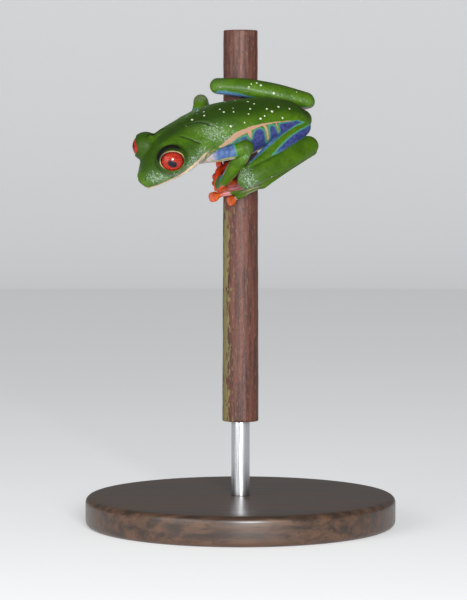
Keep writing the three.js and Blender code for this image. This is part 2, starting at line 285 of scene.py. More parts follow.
# Each limb's joints, and its rows: share of its length, half its width and half its thickness.
LIMBS = {
    "upper_arm": (
        "shoulder", "elbow", [(0, 2.4, 2.4), (0.33, 2.15, 2.15), (0.67, 1.9, 1.9), (1, 1.8, 1.8)],
    ),
    "forearm": ("elbow", "wrist", [(0, 2.0, 1.8), (0.3, 2.3, 1.9), (0.65, 1.9, 1.6), (1, 1.4, 1.1)]),
    "hand": ("wrist", "knuckles", [(0.2, 1.6, 1.0), (0.6, 2.1, 0.9), (1, 2.1, 0.8)]),
    "thigh": ("hip", "knee", [(0, 3.0, 2.8), (0.33, 2.65, 2.5), (0.67, 2.6, 2.3), (1, 2.4, 2.0)]),
    "shank": ("shin", "heel", [(0, 2.4, 2.1), (0.28, 2.85, 2.4), (0.65, 3.3, 2.2), (1, 2.6, 2.0)]),
    "tarsus": ("hock", "ankle", [(0, 1.9, 1.7), (0.3, 1.7, 1.4), (0.7, 1.6, 1.3), (1, 1.7, 1.2)]),
    "foot": ("ankle", "sole", [(0.1, 1.4, 1.1), (0.6, 1.7, 0.9), (1, 2.0, 0.8)]),
}
# The direction of each limb's back on the left side and on the right, and how far its middle bows out.
LEG_BACK = [(0.15, -0.75, 0.64), (0, -0.4, 0.92)]
BACKS = {
    "forearm": [(-0.6, -0.75, 0.2), (-0.8, -0.55, 0.1)],
    "hand": [(-1, 0, 0.1), (-0.8, -0.6, 0)],
    "tarsus": [(0.3, -0.9, 0.3), (0.4, 0.4, 0.8)],
    "foot": [(0, -1, 0), (1, 0.8, 0)],
}
STRAIGHT = [(0, 0, 0), (0, 0, 0)]
BOWS = {
    "upper_arm": [(0, -0.8, -1.0), (0.4, 0.3, 0.3)],
    "forearm": [(0.3, -0.5, 0), (0, 0, 0)],
    "thigh": [(0.5, -0.6, 0.3), (0, 0.3, 2.0)],
    "shank": [(0, -1.3, 0.2), (0, -0.4, 0.8)],
}
# Half widths of a digit at its root, before its disc and at the disc.
DIGIT_SIZES = {"finger": (0.75, 0.62, 1.35), "toe": (0.8, 0.65, 1.4)}
# The joints of each digit, its disc last: x, y, z, or an angle and a height on the stem.
DIGITS = {
    "finger_left": [
        [(-6.0, -12.2, 94.0), (-6.0, -8.6, 95.9), (42, 97.3)],
        [(-6.3, -12.0, 93.0), (-6.9, -8.0, 94.4), (75, 95.4)],
        [(-6.4, -11.8, 92.1), (-7.0, -7.4, 92.6), (104, 93.2)],
        [(-6.2, -12.0, 91.1), (-6.4, -7.4, 91.0), (80, 90.6)],
    ],
    "finger_right": [
        [(-5.2, -4.8, 100.6), on_stem(28, 101.4, 1), (5, 102.2)],
        [(-5.8, -4.4, 99.4), (-5.9, -3.6, 97.6)],
        [(-6.3, -3.2, 99.4), on_stem(88, 98.0, 1), (120, 97.0), (150, 96.4)],
        [(-6.5, -2.8, 100.8), on_stem(92, 101.2, 1), (125, 101.8)],
    ],
    "toe_left": [
        [(1.0, -7.0, 91.9), (-0.6, -6.5, 92.0)],
        [(0.2, -6.9, 91.8), (-2.4, -6.3, 92.2)],
        [(-0.2, -6.7, 91.4), (-3.0, -6.3, 91.0), (-5.0, -5.9, 90.8)],
        [(-0.2, -6.7, 90.5), (-4.0, -6.9, 89.8), (-7.3, -6.2, 88.9)],
        [(0.8, -6.7, 89.7), (-1.2, -6.1, 88.7), (28, 87.9)],
    ],
    "toe_right": [
        [(-140, 112.6), (-160, 113.9)],
        [(-146, 111.6), (-172, 112.3), (-195, 112.6)],
        [(-148, 110.6), (-180, 110.5), (-210, 110.3)],
        [(-146, 109.6), (-180, 108.7), (-215, 107.8), (-235, 107.3)],
        [(-138, 108.6), (-154, 106.9), (-168, 105.2)],
    ],
}


def of_side(pair, side):
    """The left or the right one of a pair."""
    return np.array(pair[list(SIDES).index(side)])


def limb_rows(name, side):
    *ends, rows = LIMBS[name]
    start, end = (of_side(JOINTS[joint], side) for joint in ends)
    back = of_side(BACKS.get(name, LEG_BACK), side)
    bow = of_side(BOWS.get(name, STRAIGHT), side)
    made = []
    for share, wide, thick in rows:
        at = start + (end - start) * share + bow * math.sin(math.pi * share)
        made.append([*at, *back, wide, thick, thick])
    return made


def digit_rows(places, root, tip, disc):
    """A tapering digit that swells into a round disc, whose pad reaches down to the bark."""
    *joints, end = np.array([on_stem(*at) if len(at) == 2 else at for at in places], float)
    made = []
    for i, at in enumerate(joints):
        radius = root + (tip - root) * i / len(joints)
        made.append([*at, at[0], at[1], 0, radius, radius, radius])
    reach = unit(end - joints[-1]) * disc
    under = DIGIT_LIFT + 0.1  # into the bark, where the stem then cuts it flat
    rows = [(-1.25, tip, tip, tip), (-0.6, 0.9 * disc, 0.58, under)]
    rows += [(-0.1, disc, 0.5, under), (0.45, 0.95 * disc, 0.42, under)]
    for share, *sizes in rows:
        made.append([*(end + reach * share), end[0], end[1], 0, *sizes])
    return made


# ---- distances on a grid

VOXEL = 0.15
BAND = 3.0  # true distance is kept this far from each surface
TRANSFORM = vdb.createLinearTransform(voxelSize=VOXEL)


class Distance:
    """Signed distance to a form, negative inside, on a block of the shared grid."""

    def __init__(self, low, values):
        self.low, self.values = np.asarray(low), values

    @classmethod
    def empty(cls, low, high):
        """A block round two places, far from every form."""
        low = np.floor(np.asarray(low) / VOXEL).astype(int)
        high = np.ceil(np.asarray(high) / VOXEL).astype(int) + 1
        return cls(low, np.full(high - low, BAND, np.float32))

    @classmethod
    def to_surface(cls, points, triangles):
        grid = vdb.FloatGrid.createLevelSetFromPolygons(
            points.astype(np.float32),
            triangles=triangles.astype(np.uint32),
            transform=TRANSFORM,
            halfWidth=BAND / VOXEL,
        )
        block = cls.empty(points.min(0) - BAND, points.max(0) + BAND)
        grid.copyToArray(block.values, ijk=tuple(map(int, block.low)))
        return block

    def high(self):
        return self.low + self.values.shape

    def window(self, other):
        start = other.low - self.low
        return tuple(slice(int(s), int(s + n)) for s, n in zip(start, other.values.shape))

    def places(self):
        """The x, y and z of the grid points, as arrays that broadcast together."""
        axes = np.ix_(*(np.arange(*ends) for ends in zip(self.low, self.high())))
        return [(axis * VOXEL).astype(np.float32) for axis in axes]

    def squared_from(self, place):
        x, y, z = self.places()
        return (x - place[0]) ** 2 + (y - place[1]) ** 2 + (z - place[2]) ** 2

    def at(self, places):
        """The distance at places, by trilinear sampling, and BAND outside the block."""
        grid = places / VOXEL - self.low
        cell = np.floor(grid).astype(int)
        inside = np.all((cell >= 0) & (cell < np.array(self.values.shape) - 1), axis=1)
        found = np.full(len(places), BAND, float)
        found[inside] = trilinear(self.values, cell[inside], (grid - cell)[inside])
        return found

    def join(self, other, blend):
        """Smooth union with a smaller block, blended over a distance: a number or an array on its grid."""
        window = self.window(other)
        self.values[window] = smooth_least(self.values[window], other.values, blend)


def smooth_least(a, b, blend):
    overlap = np.maximum(blend - np.abs(a - b), 0)
    return np.minimum(a, b) - overlap * overlap / (4 * blend)


# ---- the forms of the body

# Where each limb joins what came before it, how far that reaches, and how softly.
ROOTS = {
    "upper_arm": [("shoulder", 4.0, 2.6)],
    "forearm": [("elbow", 2.2, 1.2)],
    "hand": [("wrist", 2.2, 0.9)],
    "thigh": [("hip", 4.5, 2.4)],
    "shank": [("knee", 2.3, 1.2), ("shin", 2.3, 0.6)],
    "tarsus": [("heel", 2.0, 0.8), ("hock", 2.0, 0.6)],
    "foot": [("ankle", 2.2, 1.0)],
    "finger": [("knuckles", 2.6, 0.7)],
    "toe": [("sole", 2.8, 0.7)],
}
CRISP = 0.12  # how softly a limb meets the rest away from its root
# The radius at which each form's markings are measured round it.
GIRTHS = {
    "trunk": 7.5, "thigh": 2.8, "shank": 2.7, "tarsus": 1.6, "foot": 1.7,
    "upper_arm": 1.9, "forearm": 1.8, "hand": 1.5,
}


class Form:
    """A named form of the body, with its rows, its distance block and its side of the body."""

    def __init__(self, name, kind, side, rows, **shape):
        self.name, self.kind, self.side, self.rows = name, kind, side, np.asarray(rows, float)
        self.distance = Distance.to_surface(*loft(rows, **shape))
        self.length = norm(np.diff(self.rows[:, :3], axis=0), axis=1).sum()
        self.girth = math.radians(GIRTHS.get(kind, 1))  # millimetres for each degree round the form
        self.scale = np.array([self.length, self.girth, 1])

    def local(self, points):
        """Shares of the form's length, and turns in degrees from its back, mirrored on the left side."""
        t = np.linspace(0, 1, 161)
        middle, tangent, across, up, _ = sections(self.rows, t)
        near = np.argmin((middle**2).sum(1) - 2 * points @ middle.T, axis=1)
        off = points - middle[near]
        x, y, z = (np.einsum("ij,ij->i", off, d[near]) for d in (across, up, tangent))
        return t[near] + z / self.length, np.degrees(np.arctan2(x, y)) * SIDES.get(self.side, 1)

    def blend(self):
        """How softly the form joins the forms before it: a limb crisply, but for near its root."""
        if not self.side:
            return {"trunk": 0.1, "skull": 2.6}[self.kind]
        blend = np.float32(CRISP)
        for joint, reach, softness in ROOTS[self.kind]:
            away = self.distance.squared_from(of_side(JOINTS[joint], self.side))
            blend = blend + softness * np.exp(-away / reach**2)
        return blend.astype(np.float32)


def limb_forms():
    for side in SIDES:
        for kind in LIMBS:
            yield Form(f"{kind}_{side}", kind, side, limb_rows(kind, side))
    for group, digits in DIGITS.items():
        kind, side = group.split("_")
        for i, places in enumerate(digits):
            rows = digit_rows(places, *DIGIT_SIZES[kind])
            yield Form(f"{group}_{i + 1}", kind, side, rows, sides=40, step=0.2, caps=(1, 0.75))


def eye_frame(side):
    """The directions across the eye's opening: to the back, up, and out along the axis."""
    axis = eye_axis(side)
    up = unit(HEAD_UP - axis * (HEAD_UP @ axis))
    return np.array([np.cross(up, axis) * -side, up, axis])


# The lids' opening seen along the eye's axis: its middle towards the back and up, its half length
# and half height. Its long axis leans down towards the back.
OPENINGS = {"left": (0.36, 0.36, 2.98, 2.42), "right": (-0.68, 0.38, 2.85, 2.5)}
OPENING_LEAN = math.radians(-28)
# The socket round the eye, how far in front of the eye's middle the opening starts, and its soft edge.
SOCKET = {"gap": 0.02, "reach": 6, "front": 0.3, "blend": 0.22}


def along_and_across(x, y, angle):
    """Places in a plane, seen from a direction at that angle."""
    c, s = math.cos(angle), math.sin(angle)
    return x * c + y * s, y * c - x * s


def past_opening(side, back, up):
    """Distance outside the edge of the lids' opening, seen along the eye's axis, and negative inside it."""
    middle_back, middle_up, long, short = OPENINGS[side]
    along, across = along_and_across(back - middle_back, up - middle_up, OPENING_LEAN)
    return (np.hypot(along / long, across / short) - 1) * (long + short) / 2


def ball_block(middle, radius, reach):
    """A block about a place, with the distance from a ball."""
    block = Distance.empty(middle - reach, middle + reach)
    block.values = np.sqrt(block.squared_from(middle)) - radius
    return block


def add_eyelids(body):
    for name, side in SIDES.items():
        middle = eye_middle(side) - eye_axis(side) * LID["set_back"]
        body.join(ball_block(middle, LID[name], LID[name] + BAND), LID["blend"])


def open_eyes(body):
    """Hollows the sockets out and opens the lids in front of the eyes."""
    for name, side in SIDES.items():
        middle = eye_middle(side)
        socket = ball_block(middle, EYE["radius"] + SOCKET["gap"], SOCKET["reach"])
        window = body.window(socket)
        offset = [places - place for places, place in zip(socket.places(), middle)]
        back, up, out = (sum(o * d for o, d in zip(offset, direction)) for direction in eye_frame(side))
        hole = np.maximum(past_opening(name, back, up), SOCKET["front"] - out)
        opened = -smooth_least(-body.values[window], hole, SOCKET["blend"])
        body.values[window] = np.maximum(opened, -socket.values)


def clear_of_stem(body):
    x, y, z = body.places()
    bark = np.sqrt(x**2 + y**2) - stem_radius(z) - STEM_GAP
    body.values = np.maximum(body.values, -bark).astype(np.float32)


def build_forms():
    forms = [
        Form("trunk", "trunk", None, TRUNK, sides=96),
        Form("skull", "skull", None, SKULL, sides=96, square=2.2, caps=(1, 0.4)),
        *limb_forms(),
    ]
    margin = 1.5 * BAND  # room for the eyelids
    low = np.min([form.distance.low for form in forms], axis=0) * VOXEL - margin
    high = np.max([form.distance.high() for form in forms], axis=0) * VOXEL + margin
    body = Distance.empty(low, high)
    for form in forms:
        body.join(form.distance, form.blend())
        if form.kind == "skull":
            add_eyelids(body)
    clear_of_stem(body)
    open_eyes(body)
    return forms, body


# ---- the skin's mesh

def edges_of(quads):
    """Each quad's edges, in order round it."""
    return np.vstack([quads[:, [i, (i + 1) % 4]] for i in range(4)])


def largest_piece(points, quads):
    """Drops bubbles that the union closed off inside the body."""
    start, end = edges_of(quads).T
    label = np.arange(len(points))
    changed = True
    while changed:
        least = np.minimum(label[start], label[end])
        lower = label.copy()
        np.minimum.at(lower, start, least)
        np.minimum.at(lower, end, least)
        lower = lower[lower]
        changed = not np.array_equal(lower, label)
        label = lower
    kept = label == np.bincount(label).argmax()
    number = np.cumsum(kept) - 1
    return points[kept], number[quads[kept[quads[:, 0]]]]


def surface_of(body):
    """Points and quads where the distance is 0, facing outwards."""
    grid = vdb.FloatGrid(BAND)
    grid.copyFromArray(body.values, ijk=tuple(map(int, body.low)))
    grid.transform = TRANSFORM
    grid.gridClass = vdb.GridClass.LEVEL_SET
    points, quads = grid.convertToQuads(isovalue=0.0)
    return largest_piece(points.astype(float), quads[:, ::-1].astype(int))


def smoothed(points, quads, rounds):
    """Taubin smoothing: each round shrinks a little and grows back."""
    start, end = edges_of(quads).T
    degree = np.bincount(start, minlength=len(points))[:, None]
    for step in [0.5, -0.52] * rounds:
        mean = np.stack([np.bincount(start, points[end, i], len(points)) for i in range(3)], 1) / degree
        points = points + step * (mean - points)
    return points


def normals_of(points, quads):
    a, b, c, d = (points[quads[:, i]] for i in range(4))
    face = np.cross(c - a, d - b)
    total = [sum(np.bincount(quads[:, i], face[:, k], len(points)) for i in range(4)) for k in range(3)]
    return unit(np.stack(total, 1))


# ---- the skin's markings and folds, with painted shade and sheen

# What is found for each point of the skin, and its value where nothing is painted. The first are
# distances in millimetres inside a marking, from -MOST to MOST. The next are shares from 0 to 1, and
# relief is in millimetres.
MOST = 2.0
# The near-black field and the fold field are painted shade in creases and crevices; back paints the tops
# darker as shade.
# The wet field also paints sheen and glints, and pale also paints light on the right elbow and the hands.
FIELDS = {
    **dict.fromkeys(["blue", "cream", "white", "orange", "rim", "dark", "spot"], -MOST),
    **dict.fromkeys(["light", "yellow", "back", "wet", "red", "pale", "fold", "relief"], 0.0),
}

# Lines on the trunk and the thigh: share of its length, angle from its back and half width.
FLANK_LINE = np.array([
    (0.1, 62, 0.05), (0.13, 61, 0.1), (0.186, 59, 0.13), (0.266, 57, 0.15), (0.367, 55, 0.2),
    (0.427, 54, 0.3), (0.482, 55, 0.5), (0.548, 60, 0.6), (0.603, 65, 0.65), (0.638, 73, 0.7),
    (0.683, 81, 0.75), (0.739, 90, 0.8), (0.794, 97, 0.9), (0.874, 111, 1.3), (0.955, 119, 1.6),
])
BARS = [
    np.array([(0.51, 56, 0.5), (0.512, 66, 0.45), (0.51, 73, 0.2)]),
    np.array([
        (0.42, 54, 0.35), (0.41, 58, 0.3), (0.403, 71, 0.26), (0.403, 87, 0.26), (0.403, 100, 0.26),
        (0.4, 110, 0.2),
    ]),
    np.array([
        (0.345, 55, 0.16), (0.337, 58, 0.16), (0.327, 73, 0.16), (0.317, 86, 0.14), (0.305, 103, 0.12),
    ]),
]
UNDERLINE = np.array([
    (0.62, 96, 0.15), (0.55, 107, 0.22), (0.5, 114, 0.22), (0.462, 110, 0.2), (0.438, 105, 0.2),
    (0.415, 99, 0.15),
])
# The same without a half width, where the blue of the flank ends below.
FLANK_EDGE = np.array([
    (0.1, 70), (0.2, 92), (0.3, 104), (0.42, 105), (0.438, 106), (0.462, 111), (0.5, 115), (0.55, 107),
    (0.6, 95), (0.66, 80),
])
BELLY_EDGE = 112  # degrees, behind the flank
TRUNK_FOLD = np.array([
    (0.93, 13, 0), (0.915, 15, 0), (0.854, 13, 0), (0.804, 18, 0), (0.769, 28, 0), (0.749, 37, 0),
])
RIGHT_FOLD = np.array([(0.849, 47, 0), (0.784, 61, 0), (0.754, 46, 0)])

# White spots: share of the form's length and angle.
SPOTS = {
    "trunk": [
        (0.678, 40), (0.724, 16), (0.744, 0), (0.628, 5), (0.618, -8), (0.553, 1), (0.563, -12),
        (0.437, 19), (0.412, 5), (0.452, -10), (0.477, -24), (0.362, -18), (0.342, -27), (0.392, -37),
        (0.422, -41), (0.211, -20), (0.281, -48), (0.286, -14), (0.528, -44), (0.618, -48), (0.497, 38),
        (0.558, 40), (0.829, 3), (0.764, 25), (0.915, -17),
    ],
    "shank_right": [(0.407, 42), (0.462, 28), (0.503, 43), (0.387, 64), (0.638, 83), (0.869, 34)],
    "shank_left": [(0.347, 92)],
}
SPOT_RADIUS = 0.27

# The green line along the back of the thigh.
THIGH_STRIPE = np.array([
    (-0.15, 48, 0.4), (-0.03, 38, 0.45), (0.07, 27, 0.46), (0.145, 17, 0.58), (0.265, 7, 0.7),
    (0.38, 2, 0.8), (0.475, 0, 0.95), (0.585, 0, 1.0), (0.69, -3, 1.1), (0.785, -4, 1.2),
    (0.942, -8, 1.4), (1.1, -8, 1.4),
])
HIP_EDGE = {"turn": [-40, 0, 25, 45], "share": [0.0, 0.03, -0.02, -0.2]}  # where the thigh's blue begins


def inside_line(places, line):
    """How far inside a line the places are, in two or three dimensions. Its rows end with a half width."""
    line = np.array(line, float)
    inside = np.full(len(places), -9.0)
    for (*a, a_half), (*b, b_half) in zip(line, line[1:]):
        step = np.subtract(b, a)
        s = np.clip((places - a) @ step / (step @ step), 0, 1)
        away = norm(places - a - s[:, None] * step, axis=1)
        inside = np.maximum(inside, a_half + s * (b_half - a_half) - away)
    return inside


def from_nearest(points, place):
    """Distance from the one of the points that lies nearest a place."""
    return norm(points - points[np.argmin(norm(points - place, axis=1))], axis=1)


def between(values, low, high):
    """How far inside a range the values are."""
    return np.minimum(values - low, high - values)


def lift(fields, name, at, values):
    """Raises a field to at least those values at those points."""
    fields[name][at] = np.maximum(fields[name][at], values)


def paint_trunk(form, points, share, turn):
    """A green back, a cream line with bars over the blue flank, and a white belly."""
    right = np.column_stack([share, turn]) * form.scale[:2]
    flat = np.column_stack([share, np.abs(turn)]) * form.scale[:2]
    x, y = flat.T
    at, middle, half = (FLANK_LINE * form.scale).T
    band_low = np.interp(x, at, middle + half)
    edge = FLANK_EDGE * form.scale[:2]
    flank_low = np.interp(x, *edge.T)
    bars = np.max([inside_line(flat, bar * form.scale) for bar in BARS], axis=0)
    lines = np.maximum(inside_line(flat, FLANK_LINE * form.scale), bars)
    underline = inside_line(flat, UNDERLINE * form.scale)
    blue = smooth_least(y - band_low, -bars, 1.2)
    belly_edge = np.where(x < edge[-1, 0], flank_low, band_low)
    belly_edge = np.where(x < edge[0, 0], BELLY_EDGE * form.girth, belly_edge)
    right_fold = inside_line(right, RIGHT_FOLD * form.scale)
    # Distance inside the trunk's fold lines: it sets their groove in the relief and the painted shade along
    # them.
    fold = -np.maximum(inside_line(flat, TRUNK_FOLD * form.scale), right_fold)
    return dict(
        blue=np.min([blue, flank_low - y, x - edge[0, 0]], axis=0),
        cream=np.maximum(lines, underline),
        white=y - belly_edge,
        yellow=smoothstep(underline - lines, -0.2, 0.2) * 0.8,
        # Painted shade: the green darker towards the back, on top.
        back=smoothstep(np.abs(turn), 62, 12),
        # Wet skin on the shoulders: lower roughness, with painted sheen and glints.
        wet=bell(share - 0.74, 0.17) * bell(np.abs(turn) - 56, 26),
        # Painted shade along the folds.
        fold=bell(fold, 0.3),
        relief=-0.26 * bell(fold, 0.4) + 0.14 * bell(fold - 1.0, 0.6) * (fold > 0),
    )


# Height of the mouth's line at distances forward of the eyes, and other places in the head's axes.
LIP = {
    "forward": [-8.5, -5.2, -4.2, -2.6, -0.7, 0.8, 2.1, 3.5, 4.9, 5.9, 7.3, 8.5],
    "up": [-4.9, -4.35, -4.25, -4.3, -4.55, -4.7, -5.1, -5.1, -5.25, -5.45, -5.55, -5.4],
}
MOUTH = {"end": -5.4, "below_line": 0.32}
NOSTRIL = (1.7, 7.2, -2.2)
CANTHUS = [(4.6, 3.6, -0.3, 0), (2.9, 6.35, -1.0, 0), (2.0, 7.2, -1.6, 0)]
EARDRUM = {"middle": (8.3, -4.2, -2.8), "radius": 1.25}
WET_SHEEN_SNOUT = (3.4, 6.0, -2.4)


def paint_skull(form, points, share, turn):
    """Green, with the lips' cream line, the mouth, a white chin, the nostrils and the eardrums."""
    head = (points - HEAD_MIDDLE) @ HEAD_AXES.T
    head[:, 0] = np.abs(head[:, 0])
    right, forward, up = head.T
    above = up - np.interp(forward, LIP["forward"], LIP["up"])
    slit = above + MOUTH["below_line"]
    mouth = smoothstep(forward, MOUTH["end"] - 0.3, MOUTH["end"] + 0.3)
    nostril = from_nearest(head, NOSTRIL)
    ear = from_nearest(head, EARDRUM["middle"]) - EARDRUM["radius"]
    relief = -0.3 * mouth * bell(slit, 0.17) + 0.1 * mouth * bell(np.abs(slit) - 0.4, 0.28)
    relief += -0.4 * bell(nostril, 0.24) + 0.14 * bell(nostril - 0.5, 0.25)
    relief += 0.07 * bell(ear, 0.2) - 0.06 * smoothstep(ear, 0, -0.3)
    relief += 0.16 * bell(inside_line(head, CANTHUS), 0.55)
    # Wet snout and cheek: lower roughness, with painted sheen and glints.
    wet = bell(norm(head - WET_SHEEN_SNOUT, axis=1), 2.4) + bell(up + 3.0, 1.8) * smoothstep(right, 3.5, 6)
    return dict(
        cream=0.4 - np.abs(above - 0.12),
        white=-above - 0.02,
        # Painted shade, near black, in the mouth's slit and the nostrils.
        dark=np.maximum(0.06 - np.abs(slit) - (1 - mouth), 0.17 - nostril),
        # The green darker on the head's top as painted shade, and a little darker over the eardrums.
        back=smoothstep(up, -3.5, 0) * 0.8 + 0.3 * smoothstep(ear, 0.1, -0.3),
        wet=np.clip(wet, 0, 1) * smoothstep(above, 0.4, 0.9),
        pale=0.9 * bell(above - 0.1, 0.5),
        # Painted shade round the nostrils.
        fold=0.6 * bell(nostril, 0.4),
        relief=relief,
    )


# Around each eye, at angles from the back over the top: the rim's half width, and where the crease above
# the lid, painted near black as shade, starts and ends, in degrees from the eye's axis.
RIM = {
    "at": [-180, -120, -60, -25, 15, 60, 120, 160, 180],
    "half": [0.07, -0.1, -0.1, 0.0, 0.16, 0.18, 0.18, 0.13, 0.07],
}
CREASE = {
    "left": [
        (16, 86, 86), (26, 79, 92), (36, 75, 98), (46, 73, 104), (62, 73, 110), (79, 70, 112),
        (92, 66, 112), (109, 61, 108), (125, 59, 98), (140, 60, 86), (152, 64, 76), (158, 69, 69),
    ],
    "right": [(30, 112, 112), (40, 108, 112), (60, 104, 110), (80, 104, 109), (95, 106, 106)],
}
CREASE_RADIUS = 4.1  # from the eye's middle to the skin

# Lines behind the eyes in the head's axes, with half widths: a fold of the neck on both sides, and on
# the right a fine line and a hollow. Each is a groove with painted shade in it, near black in the hollow.
NECK_FOLD = [
    (3.7, -6.6, 1.6, 0), (4.53, -6.91, 1.25, 0), (5.44, -7.56, 0.59, 0), (6.46, -8.1, -0.34, 0),
    (7.0, -8.7, -1.3, 0),
]
RIGHT_LINE = [
    (2.53, -1.43, 2.05, 0), (2.59, -2.14, 2.27, 0), (2.24, -2.77, 2.45, 0), (1.92, -3.42, 2.58, 0),
]
RIGHT_HOLLOW = [
    (5.1, -2.9, 2.2, 0.4), (5.4, -3.8, 1.8, 0.4), (5.3, -4.7, 1.8, 0.4), (4.9, -5.3, 1.9, 0.4),
    (4.2, -5.9, 2.0, 0.4),
]


def paint_eyelids(points, fields):
    for name, side in SIDES.items():
        offset = points - eye_middle(side)
        near = np.flatnonzero(norm(offset, axis=1) < LID["painted"])
        back, up, out = (offset[near] @ eye_frame(side).T).T
        edge = past_opening(name, back, up)
        turn = np.degrees(np.arctan2(up, back))
        half = np.interp(turn, RIM["at"], RIM["half"])
        rim = np.where(out > 0.2, half - np.abs(edge - half), FIELDS["rim"])
        if name == "right":
            rim -= smoothstep(np.abs(turn), 60, 80)
        lift(fields, "rim", near, rim)
        lean = np.degrees(np.arctan2(np.hypot(back, up), out))
        at, low, high = np.array(CREASE[name]).T
        low, high = np.interp(turn, at, low), np.interp(turn, at, high)
        middle, half = (low + high) / 2, (high - low) / 2
        # Painted shade: the crease near black, and a softer painted shade round it where it is wide; the
        # groove is relief.
        deep = smoothstep(half, 0, 2)
        inside = np.radians(half - np.abs(lean - middle)) * CREASE_RADIUS - 0.5 * (1 - deep)
        lift(fields, "dark", near, inside)
        lift(fields, "fold", near, smoothstep(inside, -2.2, -0.2) * smoothstep(half, 6, 14))
        groove = bell(lean - low - np.minimum(half, 12), 9)
        fields["relief"][near] -= deep * groove * np.interp(half, [0, 3, 9], [0.1, 0.2, 0.3])


def paint_folds(points, fields):
    head = (points - HEAD_MIDDLE) @ HEAD_AXES.T
    near = np.flatnonzero((np.abs(head) < (10, 12, 8)).all(1))
    head = head[near]
    mirrored = head * (np.sign(head[:, :1]) * (1, 0, 0) + (0, 1, 1))
    neck = -inside_line(mirrored, NECK_FOLD)
    line = inside_line(head, RIGHT_LINE)
    hollow = inside_line(head, RIGHT_HOLLOW)
    # Painted shade: near black in the hollow, and darker along the neck fold, the fine line and round the
    # hollow.
    lift(fields, "dark", near, hollow)
    for shade in (bell(neck, 0.24), bell(line, 0.25), smoothstep(hollow, -0.5, 0.1)):
        lift(fields, "fold", near, shade)
    relief = -0.26 * bell(neck, 0.32) + 0.08 * bell(neck - 0.9, 0.6)
    fields["relief"][near] += relief - 0.25 * bell(line, 0.35) - 0.2 * smoothstep(hollow, -0.3, 0.3)


def paint_thigh(form, points, share, turn):
    """Blue, with a green stripe along the back and a green knee."""
    stripe = inside_line(np.column_stack([share, turn]) * form.scale[:2], THIGH_STRIPE * form.scale)
    knee = (0.93 - share) * form.length
    hip = (share - np.interp(turn, HIP_EDGE["turn"], HIP_EDGE["share"])) * form.length
    under = np.abs((turn - 10 + 180) % 360 - 180) - 125
    return dict(
        blue=np.min([-stripe, knee, hip], axis=0),
        white=np.minimum(under * form.girth, knee),
        light=0.85 * smoothstep(turn, -20, -40) * smoothstep(share, 0.25, 0.5),
        # The thigh's green a little darker all over, as painted shade.
        back=0.2,
        # Wet at the knee, with painted sheen and glints.
        wet=bell(share - 1.05, 0.14),
    )


def paint_shank(form, points, share, turn):
    """Green, with a pale line on its outer edge and pale blue on its inner side."""
    turn = (turn + 130) % 360 - 130
    inner = np.interp(share, [0, 0.25, 0.4, 1], [92, 97, 112, 114])
    knee = smoothstep(share, -0.1, 0.02)
    # Wet at the knee end, more on the left, and along one side: lower roughness with painted sheen and
    # glints.
    wet = (1.0 if form.side == "left" else 0.4) * bell(share - 0.02, 0.13)
    wet += 0.5 * bell(turn - 75, 22) * smoothstep(share, 0.1, 0.3)
    return dict(
        blue=between(turn, inner, 226) * form.girth * knee - MOST * (1 - knee),
        light=1,
        cream=0.16 - np.abs(turn + 106) * form.girth - smoothstep(share, 0.12, 0),
        yellow=0.6,
        # Painted shade: the green darker towards the shank's back.
        back=0.45 * bell(turn + 30, 60),
        wet=np.clip(wet, 0, 1),
    )


def paint_upper_arm(form, points, share, turn):
    """Blue in the middle, white with a pale line below, and green at the elbow."""
    middle = between(share, -0.2, 0.8 if form.side == "left" else 0.62) * form.length
    line = np.interp(share, [0.35, 0.49, 0.61], [-104, -95, -88])
    edge = 0.22 - np.abs(turn - line) * form.girth
    under = between(turn, -190, line - 3) * form.girth
    return dict(
        blue=np.minimum(middle, -under),
        white=np.minimum(under, (0.76 - share) * form.length),
        light=0.4 + 0.3 * smoothstep(share, 0.5, 0.3),
        pale=smoothstep(share, 0.46, 0.26),
        cream=np.minimum(edge, between(share, 0.36, 0.74) * form.length),
        yellow=0.7,
    )


def paint_forearm(form, points, share, turn):
    """Green, with blue on the inner side between pale lines, and red below."""
    inner = np.interp(share, [0, 0.5, 0.7, 0.87, 1.04], [-80, -45, -22, -14, 5])
    return dict(
        blue=between(turn, -170, inner) * form.girth,
        light=0.8,
        orange=np.maximum((np.abs(turn) - 150) * form.girth, (share - 1.08) * form.length),
        cream=np.maximum(0.13 - np.abs(turn - 98) * form.girth, 0.1 - np.abs(turn - inner) * form.girth),
        yellow=0.8,
        red=0.5,
        # Wet near the elbow, with painted sheen and glints.
        wet=0.8 * bell(share - 0.1, 0.22),
        # A painted highlight: the right elbow paler.
        pale=(0.3 if form.side == "right" else 0.0) * smoothstep(share, 0.06, -0.08),
    )


def paint_tarsus(form, points, share, turn):
    """Green above and orange below, with a pale line between."""
    turn = np.abs((turn - 20 + 180) % 360 - 180)
    return dict(
        orange=(turn - 82) * form.girth,
        cream=0.17 - np.abs(turn - 78) * form.girth,
        yellow=1,
        light=0.6,
    )


def paint_hand(form, points, share, turn):
    """Green on the back, and red below and towards the fingers."""
    orange = (np.abs(turn) - 70) * form.girth - 3 * np.minimum(1 - share, 0)
    # Slightly paler all over: painted light on the hand, which faces away from the lamps.
    return dict(orange=orange, red=0.6, pale=0.08)


def paint_foot(form, points, share, turn):
    """Green on the outer edge, then pinkish with pale lines to the toes, and orange below."""
    lines = 0.5 + 0.5 * np.cos(np.radians(turn) * 9)
    edge = np.abs(turn - np.interp(share, [0.3, 0.87], [40, 58]))
    blue_edge = np.abs(turn - np.interp(share, [0.3, 0.87], [16, 34]))
    outer = between(turn, -5, 105) * form.girth
    return dict(
        orange=-outer,
        blue=0.3 - blue_edge * form.girth,
        cream=0.16 - edge * form.girth,
        yellow=1,
        light=(0.1 + 0.9 * lines) * smoothstep(np.abs(turn), 140, 115),
        pale=0.5 * lines * smoothstep(outer, 0, 0.4),
    )


